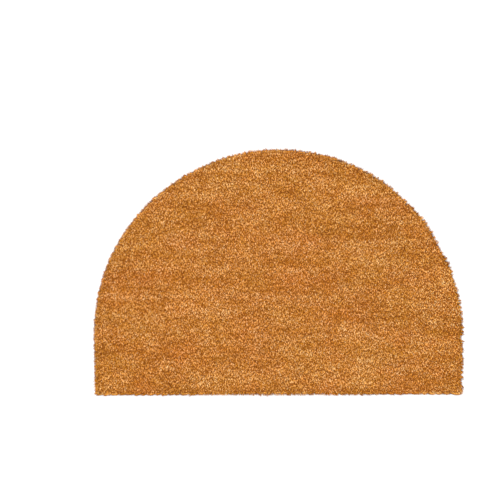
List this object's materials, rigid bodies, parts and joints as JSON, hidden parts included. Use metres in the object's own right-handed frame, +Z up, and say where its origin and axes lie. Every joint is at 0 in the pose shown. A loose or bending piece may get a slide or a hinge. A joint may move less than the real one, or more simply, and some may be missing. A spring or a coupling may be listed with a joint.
{
  "type": "half round doormat",
  "caption": "Flat half round doormat: short stiff coir pile standing in a thin smooth base, cut straight along the door side and shaggy round the arc.",
  "frame": {"origin": "on the ground, under the middle of the mat's box", "axes": "+X along the straight edge, +Y from the straight edge towards the arc, +Z up out of the pile"},
  "size_m": [0.6018, 0.401, 0.015],
  "materials": {
    "coir_pile": "dull, coarse upright natural fibre",
    "vinyl_base": "smooth satin underside"
  },
  "bodies": {
    "root": {"coir_mat": "coir_pile"}
  },
  "joints": []
}
